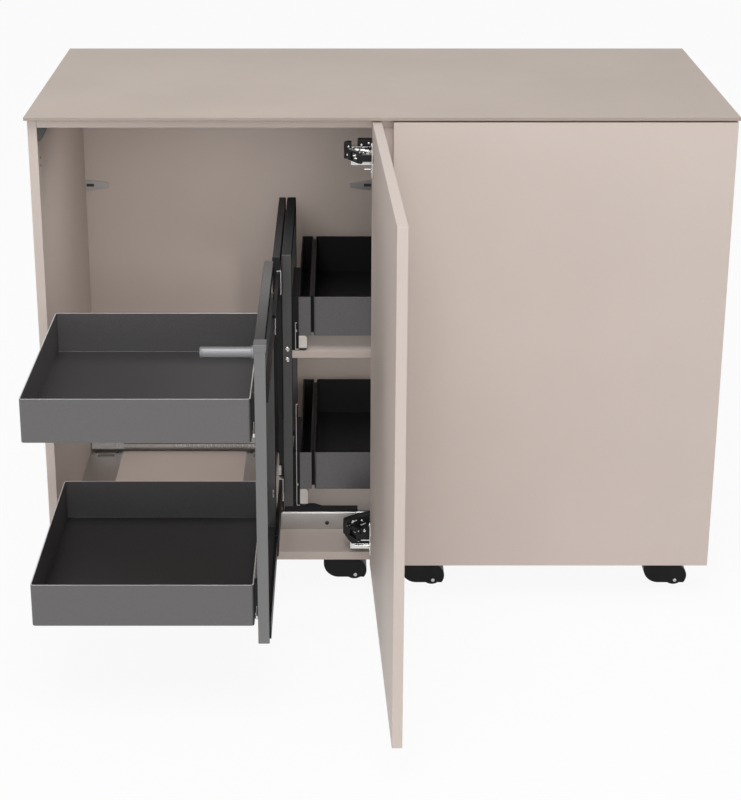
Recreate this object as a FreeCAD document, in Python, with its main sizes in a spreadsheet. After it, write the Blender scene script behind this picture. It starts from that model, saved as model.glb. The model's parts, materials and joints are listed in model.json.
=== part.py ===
import FreeCAD, Part
import math
import os
import re

# Outdoor kitchen corner cabinet with a door, a pull-out front unit and sliding rear trays.
# Millimetres, +X to the right, +Y to the back, +Z up, origin on the floor below the middle
# of the space that the cabinet takes with its door and front unit open.

doc = FreeCAD.newDocument("corner_cabinet")
sheet = doc.addObject("Spreadsheet::Sheet", "Sizes")
nodes = {}

# Driving dimensions
SIZES = {
    "width": 1200, "height": 906, "worktop_thick": 6, "overhang": 3, "worktop_lip": 2,
    "board": 16, "back_thick": 8, "carcase_depth": 560, "caster_height": 76,
    "front_thick": 16, "front_drop": 4, "front_top_gap": 3, "front_split": 18, "front_gap": 3,
    "join_width": 10, "join_thick": 3, "stile_depth": 70, "stile_thick": 22, "stile_lap": 16,
    "door_open": 92.3, "pivot_x": 4, "pivot_out": 20,
    "hinge_low": 138, "hinge_high": 839, "cup_radius": 17.4, "cup_depth": 11, "cup_edge": 22,
    "cup_floor": 1.5, "cup_clear": 0.1, "flange_thick": 1.5, "flange_width": 26,
    "flange_height": 58, "pocket_width": 28, "tongue_height": 12, "tongue_clear": 0.3,
    "tongue_thick": 6, "tongue_bite": 2, "arm_gap": 3, "arm_thick": 12, "arm_height": 30,
    "arm_reach": 50, "arm_width": 38,
    "rail_inset": 94, "back_rail_inset": 84, "rail_width": 16, "rail_height": 36,
    "front_rail_left": 186, "rail_wall": 2, "plate_width": 64, "plate_thick": 3,
    "plate_inset": 2, "plate_mid": 230, "plate_front": 40, "plate_slot": 30, "slot_width": 9,
    "carrier_left": 175, "bar_lip": 7, "bar_gap": 2, "notch_gap": 1, "frame_top": 630, "frame_bar": 16,
    "panel_lip": 22, "panel_top": 508,
    "slide_high": 582, "slide_low": 178, "slide_height": 45, "slide_thick": 8,
    "slide_skin": 1.6, "slide_clear": 0.5, "ball_track": 4, "slide_inset": 81, "slide_setback": 4,
    "front_travel": 460, "front_stowed": 10, "front_depth": 416, "front_post": 25,
    "front_tube": 16, "front_low": 155, "front_high": 660, "frame_gap": 1,
    "tray_depth": 394, "tray_width": 352, "tray_height": 72, "tray_skin": 2, "tray_round": 5,
    "tray_gap": 6, "tray_high": 500, "tray_low": 185, "tray_setback": 4, "post_face": 20,
    "bracket_width": 20, "bracket_height": 40,
    "handle_length": 78, "handle_radius": 8.5, "handle_drop": 15, "handle_cap": 4,
    "rear_width": 458, "rear_post": 17, "rear_gap": 1, "run_clear": 0.3,
    "runner_height": 10, "runner_length": 136, "shelf_low": 434, "shelf_thick": 14,
    "rear_tray_height": 74, "rear_tray_high": 476, "rear_tray_low": 173,
    "hanger_inset": 12, "hanger_width": 22, "hanger_gap": 5,
    "tray_margin": 3, "hanger_arm": 170, "spacer_inset": 15, "spacer_margin": 2, "glide_size": 15,
    "screw_radius": 4, "screw_head": 2, "screw_pitch": 20,
    "tie_length": 46, "tie_height": 22, "tie_tip": 10, "tie_thick": 4, "tie_level": 632,
    "catch_size": 24, "catch_thick": 10,
    "wheel_radius": 20, "wheel_width": 13, "wheel_trail": 20, "wheel_clear": 1.5, "axle_radius": 3,
    "fit_clear": 0.05, "hood_length": 80, "hood_width": 44, "hood_floor": 6, "hood_web": 10,
    "hood_skin": 1.5, "hood_round": 28, "hood_cheek": 2,
    "stem_radius": 5, "stem_length": 16, "boss_radius": 16, "swivel_gap": 0.3,
    "caster_plate": 58, "caster_plate_thick": 3, "boss_height": 11,
    "caster_outer": 530, "caster_left": 64, "caster_right": 80, "caster_inset": 68,
    "caster_step": 22,
}

# Derived dimensions: where the carcase stands in Y, and levels that several pieces share
size = dict(SIZES)
size["carcase_half"] = size["width"] / 2 - size["overhang"]
size["room_half"] = size["carcase_half"] - size["board"]
size["room_depth"] = size["carcase_depth"] - size["back_thick"]
size["floor_z"] = size["caster_height"] + size["board"]
size["carcase_top"] = size["height"] - size["worktop_thick"]
size["roof_z"] = size["carcase_top"] - size["board"]
size["door_reach"] = size["carcase_half"] + size["pivot_x"]
door_angle = math.radians(size["door_open"])
size["open_reach"] = (size["door_reach"] * math.sin(door_angle)
                      - size["pivot_out"] * math.cos(door_angle) + size["pivot_out"])
size["front_y"] = (size["open_reach"] - size["carcase_depth"]) / 2
size["back_y"] = size["front_y"] + size["carcase_depth"]
size["room_back"] = size["front_y"] + size["room_depth"]
size["front_z"] = size["caster_height"] - size["front_drop"]
size["front_top"] = size["carcase_top"] - size["front_top_gap"]
size["rail_y"] = size["front_y"] + size["rail_inset"]
size["back_rail_y"] = size["room_back"] - size["back_rail_inset"] - size["rail_width"]
size["rail_top"] = size["floor_z"] + size["rail_height"]
size["slide_left"] = size["carrier_left"] + size["slide_thick"]
size["frame_right"] = size["slide_left"] + size["frame_gap"]
size["frame_left"] = size["frame_right"] + size["front_tube"]
size["front_unit_y"] = size["front_y"] + size["front_stowed"] - size["front_travel"]
size["tray_right"] = size["frame_left"] + size["tray_gap"]
size["rear_left"] = size["carrier_left"] - size["rear_gap"]
size["rear_right"] = size["rear_width"] - size["rear_left"]
size["runner_z"] = size["rail_top"] + size["run_clear"]
size["runner_top"] = size["runner_z"] + size["runner_height"]
size["shelf_top"] = size["shelf_low"] + size["shelf_thick"]
size["hood_top"] = (size["caster_height"] - size["caster_plate_thick"]
                    - size["boss_height"] - size["swivel_gap"])

for row, (alias, value) in enumerate(size.items(), start=1):
    sheet.set("A%d" % row, alias)
    sheet.set("B%d" % row, repr(value))
    sheet.setAlias("B%d" % row, alias)
doc.recompute()


def formula(text):
    """Turn the names in a formula into references to the sheet's cells."""
    return re.sub(r"[a-z][a-z_]*", lambda word: "Sizes." + word.group(0), text)


def bind(piece, **formulas):
    """Bind properties of a piece to formulas of the sheet."""
    for prop, text in formulas.items():
        piece.setExpression(prop, formula(text))


def put(piece, x, y, z):
    """Bind the place of a piece to formulas of the sheet."""
    piece.setExpression(".Placement.Base.x", formula(x))
    piece.setExpression(".Placement.Base.y", formula(y))
    piece.setExpression(".Placement.Base.z", formula(z))
    return piece


def box(x, y, z):
    """A block between two X, two Y and two Z formulas."""
    piece = doc.addObject("Part::Box", "block")
    spans = {"Length": x, "Width": y, "Height": z}
    for prop, (low, high) in spans.items():
        piece.setExpression(prop, formula("(%s) - (%s)" % (high, low)))
    return put(piece, x[0], y[0], z[0])


def rod(radius, length, at, axis="z"):
    """A round bar that starts at a point and runs along a positive axis."""
    piece = doc.addObject("Part::Cylinder", "bar")
    bind(piece, Radius=radius, Height=length)
    turns = {"x": ((0, 1, 0), 90), "y": ((1, 0, 0), -90), "z": ((0, 0, 1), 0)}
    direction, angle = turns[axis]
    piece.Placement.Rotation = FreeCAD.Rotation(FreeCAD.Vector(*direction), angle)
    return put(piece, *at)


def fuse(*pieces):
    piece = doc.addObject("Part::MultiFuse", "joined")
    piece.Shapes = list(pieces)
    return piece


def cut(base, *tools):
    piece = doc.addObject("Part::Cut", "cut")
    piece.Base = base
    piece.Tool = tools[0] if len(tools) == 1 else fuse(*tools)
    return piece


def group(pieces):
    """Separate solids that share one node."""
    piece = doc.addObject("Part::Compound", "set")
    piece.Links = list(pieces)
    return piece


def round_edges(base, radius, axis):
    """Round the straight edges of a piece that run along an axis (0, 1 or 2)."""
    doc.recompute()
    piece = doc.addObject("Part::Fillet", "rounded")
    piece.Base = base
    chosen = []
    for number, edge in enumerate(base.Shape.Edges, start=1):
        along = edge.tangentAt(edge.FirstParameter)
        if edge.Curve.TypeId == "Part::GeomLine" and abs(along[axis]) > 0.99:
            chosen.append((number, radius, radius))
    piece.Edges = chosen
    return piece


def node(name, piece):
    """Name a finished sub-part."""
    piece.Label = name
    nodes[name] = piece
    return piece


# Carcase boards
INSIDE = ("-room_half", "room_half")
CARCASE_Y = ("front_y", "back_y")
CARCASE_Z = ("caster_height", "carcase_top")
node("worktop", box(("-width/2", "width/2"), ("front_y - front_thick - worktop_lip", "back_y"),
                    ("carcase_top", "height")))
node("left_side", box(("-carcase_half", "-room_half"), CARCASE_Y, CARCASE_Z))
node("right_side", box(("room_half", "carcase_half"), CARCASE_Y, CARCASE_Z))
node("bottom_board", box(INSIDE, CARCASE_Y, ("caster_height", "floor_z")))
node("top_board", box(INSIDE, CARCASE_Y, ("roof_z", "carcase_top")))
BACK_Y = ("room_back", "back_y")
ROOM_Z = ("floor_z", "roof_z")
node("back_panel_left", box(("-room_half", "0"), BACK_Y, ROOM_Z))
node("back_panel_right", box(("0", "room_half"), BACK_Y, ROOM_Z))
node("back_join_strip", box(("-join_width/2", "join_width/2"),
                            ("room_back - join_thick", "room_back"), ROOM_Z))
BLIND_LEFT = "front_split + front_gap/2"
STILE_LEFT = BLIND_LEFT + " - stile_lap"
node("centre_stile", box((STILE_LEFT, STILE_LEFT + " + stile_thick"),
                         ("front_y", "front_y + stile_depth"), ROOM_Z))
node("blind_front_panel", box((BLIND_LEFT, "carcase_half"),
                              ("front_y - front_thick", "front_y"), ("front_z", "front_top")))

# Door, drawn shut about its pivot and then turned open
HINGE_LEVELS = ("hinge_low", "hinge_high")
DOOR_EDGE = "front_split - front_gap/2 - pivot_x"
CUP_X = DOOR_EDGE + " - cup_edge"
INNER_FACE = "pivot_out"


def open_door(piece):
    """Turn a piece of the door about the pivot to where the door stands open."""
    put(piece, "pivot_x", "front_y - pivot_out", "0")
    piece.Placement.Rotation = FreeCAD.Rotation(FreeCAD.Vector(0, 0, 1), size["door_open"])
    return piece


def cup_disc(radius, depth, level):
    return rod(radius, depth, (CUP_X, INNER_FACE + " - " + depth, level), "y")


def cup(level):
    """A hinge cup with its flange and the pocket that the hinge tongue works in."""
    flange = box((CUP_X + " - flange_width/2", CUP_X + " + flange_width/2"),
                 (INNER_FACE, INNER_FACE + " + flange_thick"),
                 (level + " - flange_height/2", level + " + flange_height/2"))
    pocket = box((CUP_X + " - pocket_width/2", CUP_X + " + pocket_width/2"),
                 (INNER_FACE + " - cup_depth + cup_floor", INNER_FACE + " + flange_thick"),
                 (level + " - tongue_height/2 - tongue_clear",
                  level + " + tongue_height/2 + tongue_clear"))
    return cut(fuse(cup_disc("cup_radius", "cup_depth", level), flange), pocket)


door_slab = box(("-door_reach", DOOR_EDGE), ("pivot_out - front_thick", INNER_FACE),
                ("front_z", "front_top"))
cup_holes = [cup_disc("(cup_radius + cup_clear)", "cup_depth", level) for level in HINGE_LEVELS]
node("door", open_door(cut(door_slab, *cup_holes)))
node("hinge_cups", open_door(group(cup(level) for level in HINGE_LEVELS)))


def hinge_arm(level):
    """An arm from the stile round the door's edge, with a tongue that reaches into the cup."""
    z = (level + " - arm_height/2", level + " + arm_height/2")
    tongue_z = (level + " - tongue_height/2", level + " + tongue_height/2")
    inner_x = "pivot_x - pivot_out"
    left = inner_x + " - arm_reach"
    cup_y = "front_y - pivot_out + (" + CUP_X + ")"
    tongue_y = (cup_y + " - tongue_thick/2", cup_y + " + tongue_thick/2")
    beam = box((left, STILE_LEFT), ("front_y + arm_gap", "front_y + arm_gap + arm_thick"), z)
    leg = box((left, left + " + arm_width"), (tongue_y[0], "front_y + arm_gap"), z)
    tongue = box((left, inner_x + " + tongue_bite"), tongue_y, tongue_z)
    return fuse(beam, leg, tongue)


node("hinge_arms", group(hinge_arm(level) for level in HINGE_LEVELS))

# Rails and tie plates on the cabinet floor
RAIL_Z = ("floor_z", "rail_top")


def rail(left, y):
    """A box-section rail along X, open along its underside."""
    bar = box((left, "room_half"), (y, y + " + rail_width"), RAIL_Z)
    hollow = box((left, "room_half"), (y + " + rail_wall", y + " + rail_width - rail_wall"),
                 ("floor_z", "rail_top - rail_wall"))
    return cut(bar, hollow)


node("front_rail", rail("-front_rail_left", "rail_y"))
node("back_rail", rail("-room_half + plate_inset", "back_rail_y"))


def tie_plate(centre, front):
    """A flat plate on the floor with a slot, in front of the back rail."""
    z = ("floor_z", "floor_z + plate_thick")
    slot_y = "back_rail_y - plate_slot"
    plate = box((centre + " - plate_width/2", centre + " + plate_width/2"),
                (front, "back_rail_y"), z)
    slot = box((centre + " - plate_slot/2", centre + " + plate_slot/2"),
               (slot_y, slot_y + " + slot_width"), z)
    return cut(plate, slot)


SIDE_PLATE = "room_half - plate_inset - plate_width/2"
node("tie_plate_left", tie_plate("-(" + SIDE_PLATE + ")", "front_y + plate_front"))
node("tie_plate_middle", tie_plate("-plate_mid", "front_y + plate_front"))
node("tie_plate_right", tie_plate(SIDE_PLATE, "rail_y + rail_width"))


def portal(x, low, high, front, back, post, bar):
    """Two posts and a bar across their tops."""
    front_end = front + " + " + post
    back_end = back + " + " + post
    cross_bar = box(x, (front, back_end), (high + " - " + bar, high))
    return fuse(box(x, (front, front_end), (low, high)), box(x, (back, back_end), (low, high)), cross_bar)


# Carrier that stands on the rails and holds the slides of the front unit
SLIDE_LEVELS = ("slide_low", "slide_high")
SLIDE_START = "front_y + slide_inset"
CARRIER_X = ("-slide_left", "-carrier_left")
CARRIER_BAR_X = ("-slide_left - bar_lip", "-carrier_left - bar_gap")
CARRIER_FRONT = ("rail_y", "rail_y + rail_width")
CARRIER_BACK = ("back_rail_y", "back_rail_y + rail_width")
CARRIER_BAR_Z = ("slide_high + slide_height/2", "frame_top")
carrier_bar = box(CARRIER_BAR_X, (SLIDE_START, CARRIER_BACK[1]), CARRIER_BAR_Z)
carrier_back = box(CARRIER_BAR_X, CARRIER_BACK, ("rail_top", "frame_top"))
low_post = box(CARRIER_X, CARRIER_FRONT, ("rail_top", "slide_low - slide_height/2"))
middle_post = box(CARRIER_X, CARRIER_FRONT, ("slide_low + slide_height/2", "slide_high - slide_height/2"))
carrier_panel = box(("-slide_left - panel_lip", CARRIER_BAR_X[1]), CARRIER_BACK, ("rail_top", "panel_top"))
carrier_rear = fuse(carrier_bar, carrier_back, carrier_panel)
node("carrier_frame", group([carrier_rear, low_post, middle_post]))
SLIDE_BACK = "-carrier_left - slide_skin"
MIDDLE_BACK = SLIDE_BACK + " - slide_clear"
MIDDLE_SKIN = MIDDLE_BACK + " - slide_skin"
MIDDLE_HALF = "(slide_height/2 - slide_skin - slide_clear)"
INNER_HALF = "(slide_height/2 - slide_skin - slide_clear - ball_track - slide_clear)"


def channel(x, back, y, level, half, hollow_half):
    """A channel along Y, open to the left."""
    z = (level + " - " + half, level + " + " + half)
    hollow_z = (level + " - " + hollow_half, level + " + " + hollow_half)
    return cut(box((x[0], x[1]), y, z), box((x[0], back), y, hollow_z))


def outer_slide(level):
    return channel(CARRIER_X, SLIDE_BACK, (SLIDE_START, "back_rail_y"),
                   level, "slide_height/2", "(slide_height/2 - slide_skin)")


def middle_slide(level):
    span = (SLIDE_START + " - front_travel/2", "back_rail_y - front_travel/2 - slide_clear")
    return channel(("-slide_left", MIDDLE_BACK), MIDDLE_SKIN, span,
                   level, MIDDLE_HALF, "(" + INNER_HALF + " + slide_clear)")


def inner_slide(level):
    span = ("front_unit_y + slide_setback", "back_rail_y - front_travel - slide_clear")
    return box(("-frame_right", MIDDLE_SKIN + " - slide_clear"), span,
               (level + " - " + INNER_HALF, level + " + " + INNER_HALF))


node("outer_slides", group(outer_slide(level) for level in SLIDE_LEVELS))
node("middle_slides", group(middle_slide(level) for level in SLIDE_LEVELS))
node("inner_slides", group(inner_slide(level) for level in SLIDE_LEVELS))

# Front unit: a welded tube frame with two trays and a pull handle
FRAME_X = ("-frame_left", "-frame_right")
FRAME_BACK = "front_unit_y + front_depth - front_post"
front_top = portal(FRAME_X, "front_low", "front_high", "front_unit_y", FRAME_BACK,
                   "front_post", "front_tube")
front_foot = box(FRAME_X, ("front_unit_y", FRAME_BACK), ("front_low", "front_low + front_tube"))
NOTCH_Y = (FRAME_BACK, FRAME_BACK + " + front_post")
bar_notch = box(("-slide_left - bar_lip - notch_gap", "-frame_right"), NOTCH_Y,
                (CARRIER_BAR_Z[0] + " - notch_gap", CARRIER_BAR_Z[1] + " + notch_gap"))
post_lip = box(("-frame_left", "-frame_left + post_face"),
               ("front_unit_y", "front_unit_y + slide_setback - slide_clear"),
               ("front_low", "front_high"))
node("front_frame", cut(fuse(front_top, front_foot, post_lip), bar_notch))


def tray(x, y, z, skin="tray_skin"):
    """An open sheet-metal tray with rounded upright corners."""
    outer = round_edges(box(x, y, z), size["tray_round"], 2)
    inner_x = (x[0] + " + " + skin, x[1] + " - " + skin)
    inner_y = (y[0] + " + " + skin, y[1] + " - " + skin)
    hollow = box(inner_x, inner_y, (z[0] + " + " + skin, z[1] + " + " + skin))
    return cut(outer, round_edges(hollow, size["tray_round"] - size["tray_skin"], 2))


FRONT_TRAY_X = ("-tray_right - tray_width", "-tray_right")
FRONT_TRAY_Y = ("front_unit_y + tray_setback", "front_unit_y + tray_setback + tray_depth")
for name, level in (("front_tray_upper", "tray_high"), ("front_tray_lower", "tray_low")):
    node(name, tray(FRONT_TRAY_X, FRONT_TRAY_Y, (level, level + " + tray_height")))


def tray_bracket(level, y):
    """A plate that hangs a tray on a post of the front frame."""
    return box(("-tray_right", "-frame_left"), (y, y + " + bracket_width"),
               (level + " + tray_height - bracket_height", level + " + tray_height"))


BRACKET_PLACES = ("front_unit_y + tray_setback + tray_round", FRAME_BACK)
node("front_tray_brackets", group(tray_bracket(level, y) for level in ("tray_high", "tray_low")
                                  for y in BRACKET_PLACES))
HANDLE_Z = "front_high - handle_drop"
HANDLE_Y = "front_unit_y + front_post/2"
HANDLE_LEFT = "-frame_left - handle_length"
CAP_LEFT = HANDLE_LEFT + " - handle_cap"
node("pull_handle", rod("handle_radius", "handle_length", (HANDLE_LEFT, HANDLE_Y, HANDLE_Z), "x"))
node("handle_cap", rod("handle_radius", "handle_cap", (CAP_LEFT, HANDLE_Y, HANDLE_Z), "x"))

# Rear unit: side frames and runners on the rails, a shelf, two trays and their glides
REAR_LEFT_POST = ("-rear_left", "-rear_left + rear_post")
REAR_RIGHT_POST = ("rear_right - rear_post", "rear_right")
for name, x in (("rear_side_left", REAR_LEFT_POST), ("rear_side_right", REAR_RIGHT_POST)):
    node(name, portal(x, "runner_top", "frame_top", "rail_y", "back_rail_y", "rail_width", "frame_bar"))
REAR_BAYS = ("rail_y", "back_rail_y")
RUNNER_X = (("-rear_left", "-rear_left + runner_length"), ("rear_right - runner_length", "rear_right"))
RUNNER_Z = ("runner_z", "runner_top")
node("rear_runners", group(box(x, (y, y + " + rail_width"), RUNNER_Z) for y in REAR_BAYS for x in RUNNER_X))
node("rear_shelf", box((REAR_LEFT_POST[1], REAR_RIGHT_POST[0]),
                       ("rail_y", "back_rail_y + rail_width"), ("shelf_low", "shelf_top")))
HANGER_LEFT = "-rear_left + rear_post + hanger_inset"
REAR_TRAY_LEFT = HANGER_LEFT + " + hanger_width + hanger_gap"
REAR_TRAY_RIGHT = "rear_right - rear_post - tray_margin"
REAR_TRAY_Y = ("rail_y + tray_margin", "back_rail_y + rail_width")
REAR_LEVELS = {"upper": ("rear_tray_high", "shelf_top"), "lower": ("rear_tray_low", "runner_top")}
for place, (level, seat) in REAR_LEVELS.items():
    z = (level, level + " + rear_tray_height")
    node("rear_tray_" + place, tray((REAR_TRAY_LEFT, REAR_TRAY_RIGHT), REAR_TRAY_Y, z))
    hanger = box((HANGER_LEFT, HANGER_LEFT + " + hanger_width"), REAR_TRAY_Y, z)
    hollow = box((HANGER_LEFT + " + tray_skin", HANGER_LEFT + " + hanger_width - tray_skin"),
                 (REAR_TRAY_Y[0] + " + tray_skin", REAR_TRAY_Y[1] + " - tray_skin"),
                 (level + " + tray_skin", level + " + rear_tray_height"))
    spacer_x = (HANGER_LEFT + " + hanger_width", REAR_TRAY_LEFT)
    spacer_y = (REAR_TRAY_Y[0] + " + spacer_inset", REAR_TRAY_Y[1] + " - spacer_inset")
    spacer_z = (level + " + spacer_margin", level + " + rear_tray_height - spacer_margin")
    spacer = box(spacer_x, spacer_y, spacer_z)
    arm_y = (REAR_TRAY_Y[0], REAR_TRAY_Y[0] + " + hanger_arm")
    arm = box((REAR_LEFT_POST[1], HANGER_LEFT), arm_y, z)
    node("rear_hanger_" + place, fuse(cut(hanger, hollow), spacer, arm))
    glides = []
    for y in REAR_BAYS:
        for x in (HANGER_LEFT, REAR_TRAY_RIGHT + " - glide_size"):
            glides.append(box((x, x + " + glide_size"), (y, y + " + glide_size"), (seat, level)))
    node("rear_glides_" + place, group(glides))

# Fittings inside the carcase
SCREW_X = "-rear_left + rear_post/2"
SHELF_SCREWS = ("shelf_low + shelf_thick/2 - screw_pitch/2", "shelf_low + shelf_thick/2 + screw_pitch/2")
node("shelf_screws", group(rod("screw_radius", "screw_head", (SCREW_X, "rail_y - screw_head", z), "y")
                           for z in SHELF_SCREWS))


def back_tie(base, tip):
    """A tapered plate on the back panel that ties it to an upright."""
    front = size["room_back"] - size["tie_thick"]
    wide = size["tie_height"] / 2
    narrow = size["tie_tip"] / 2
    corners = [(base, -wide), (base, wide), (tip, narrow), (tip, -narrow), (base, -wide)]
    points = [FreeCAD.Vector(x, front, size["tie_level"] + rise) for x, rise in corners]
    outline = Part.Face(Part.makePolygon(points))
    return outline.extrude(FreeCAD.Vector(0, size["tie_thick"], 0))


ties = doc.addObject("Part::Feature", "back_ties")
left_base = -size["room_half"]
right_base = -size["join_width"] / 2
ties.Shape = Part.makeCompound([back_tie(left_base, left_base + size["tie_length"]),
                                back_tie(right_base, right_base - size["tie_length"])])
node("back_ties", ties)
node("door_catch", box(("-room_half", "-room_half + catch_thick"),
                       ("front_y", "front_y + catch_size"), ("roof_z - catch_size", "roof_z")))

# Casters: a plate with a stem, a swivelling hood and a pair of wheels on an axle
CASTER_X = ("-caster_outer", "-caster_left", "caster_right", "caster_outer")
CASTER_Y = ("front_y + caster_inset", "back_y - caster_inset")


def caster_mount():
    plate_low = "caster_height - caster_plate_thick"
    plate = box(("-caster_plate/2", "caster_plate/2"), ("-caster_plate/2", "caster_plate/2"),
                (plate_low, "caster_height"))
    boss = rod("boss_radius", "boss_height", ("0", "0", plate_low + " - boss_height"))
    stem = rod("stem_radius", "stem_length + swivel_gap", ("0", "0", "hood_top - stem_length"))
    return fuse(plate, boss, stem)


def caster_hood():
    """A rounded cover over two wheels, with a web between them and a bore for the stem."""
    dome_radius = "wheel_radius + wheel_clear + hood_skin"
    back = "wheel_trail + " + dome_radius
    front = back + " - hood_length"
    half = "hood_width/2"
    hood_y = ("-" + half, half)
    nose_x = front + " + hood_round"
    nose_z = "hood_floor + hood_round"
    nose = rod("hood_round", "hood_width", (nose_x, hood_y[0], nose_z), "y")
    upper = box((front, nose_x), hood_y, (nose_z, "hood_top"))
    body = box((nose_x, "wheel_trail"), hood_y, ("hood_floor", "hood_top"))
    dome = rod(dome_radius, "hood_width", ("wheel_trail", hood_y[0], "wheel_radius"), "y")
    lower_trim = box((front, back), hood_y, ("-hood_floor", "hood_floor"))
    cover = cut(fuse(nose, upper, body, dome), lower_trim)
    wells = []
    cheek = "(hood_width/2 - hood_cheek)"
    for low, high in (("-" + cheek, "-hood_web/2"), ("hood_web/2", cheek)):
        well_width = "(%s) - (%s)" % (high, low)
        well_start = ("wheel_trail", low, "wheel_radius")
        wells.append(rod("wheel_radius + wheel_clear", well_width, well_start, "y"))
    bore = rod("stem_radius + fit_clear", "stem_length + swivel_gap", ("0", "0", "hood_top - stem_length"))
    axle = rod("axle_radius + fit_clear", "hood_web", ("wheel_trail", "-hood_web/2", "wheel_radius"), "y")
    return cut(cover, *wells, bore, axle)


def caster_wheels():
    gap = "hood_web/2 + wheel_clear/2"
    left_y = "-(" + gap + ") - wheel_width"
    left = rod("wheel_radius", "wheel_width", ("wheel_trail", left_y, "wheel_radius"), "y")
    right = rod("wheel_radius", "wheel_width", ("wheel_trail", gap, "wheel_radius"), "y")
    axle = rod("axle_radius", "2*(" + gap + ")", ("wheel_trail", "-(" + gap + ")", "wheel_radius"), "y")
    return fuse(left, right, axle)


CASTER_PLACES = [(x, y) for y in CASTER_Y for x in CASTER_X]
CASTER_PLACES[1] = (CASTER_X[1], CASTER_Y[0] + " + caster_step")
node("caster_mounts", group(put(caster_mount(), x, y, "0") for x, y in CASTER_PLACES))
for number, (x, y) in enumerate(CASTER_PLACES, start=1):
    node("caster_hood_%d" % number, put(caster_hood(), x, y, "0"))
    node("caster_wheels_%d" % number, put(caster_wheels(), x, y, "0"))

# Check every piece, then write it
doc.recompute()
faults = [item.Label for item in doc.Objects if {"Invalid", "Error"} & set(item.State)]
for name, piece in nodes.items():
    if piece.Shape.isNull() or not piece.Shape.isValid():
        faults.append(name)
if faults:
    raise RuntimeError("pieces that failed: " + ", ".join(faults))
os.makedirs("parts", exist_ok=True)
for name, piece in nodes.items():
    piece.Shape.exportStep("parts/%s.step" % name)
print(len(nodes), "sub-parts written")
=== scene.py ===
import json
import math
import bmesh
import bpy
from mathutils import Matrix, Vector


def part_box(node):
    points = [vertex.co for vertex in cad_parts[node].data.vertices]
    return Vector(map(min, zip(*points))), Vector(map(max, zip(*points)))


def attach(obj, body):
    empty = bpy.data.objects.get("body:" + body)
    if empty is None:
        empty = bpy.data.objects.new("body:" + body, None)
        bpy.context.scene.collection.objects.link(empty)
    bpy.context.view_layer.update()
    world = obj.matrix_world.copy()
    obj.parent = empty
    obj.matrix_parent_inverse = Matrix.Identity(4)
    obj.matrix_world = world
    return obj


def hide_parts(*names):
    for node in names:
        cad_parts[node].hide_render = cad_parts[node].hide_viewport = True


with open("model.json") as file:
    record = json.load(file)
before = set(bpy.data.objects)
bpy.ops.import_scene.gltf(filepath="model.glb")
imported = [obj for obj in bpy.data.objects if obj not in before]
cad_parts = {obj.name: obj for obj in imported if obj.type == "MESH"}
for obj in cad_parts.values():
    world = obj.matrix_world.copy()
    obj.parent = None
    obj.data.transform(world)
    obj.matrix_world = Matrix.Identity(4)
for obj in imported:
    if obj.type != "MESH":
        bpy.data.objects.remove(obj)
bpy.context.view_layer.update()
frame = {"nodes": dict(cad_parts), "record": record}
MM = 0.001
UP = (0, 0, 1)
DOWN = (0, 0, -1)
LEFT = (-1, 0, 0)
RIGHT = (1, 0, 0)
FORWARD = (0, -1, 0)
bodies = frame["record"]["behaviour"]["bodies"]
body_of_node = {node: body for body, nodes in bodies.items() for node in nodes}


# Materials

def linear(red, green, blue):
    """A colour given as 0 to 255 screen values."""
    values = []
    for part in (red, green, blue):
        part = part / 255
        values.append(part / 12.92 if part <= 0.04045 else ((part + 0.055) / 1.055) ** 2.4)
    return (*values, 1.0)


def shades(tone, spread):
    """A darker and a lighter shade of a tone."""
    return linear(*[part - spread for part in tone]), linear(*[part + spread for part in tone])


# A noise's values lie mostly between these two
NOISE_LOW = 0.3
NOISE_HIGH = 0.7


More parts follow.
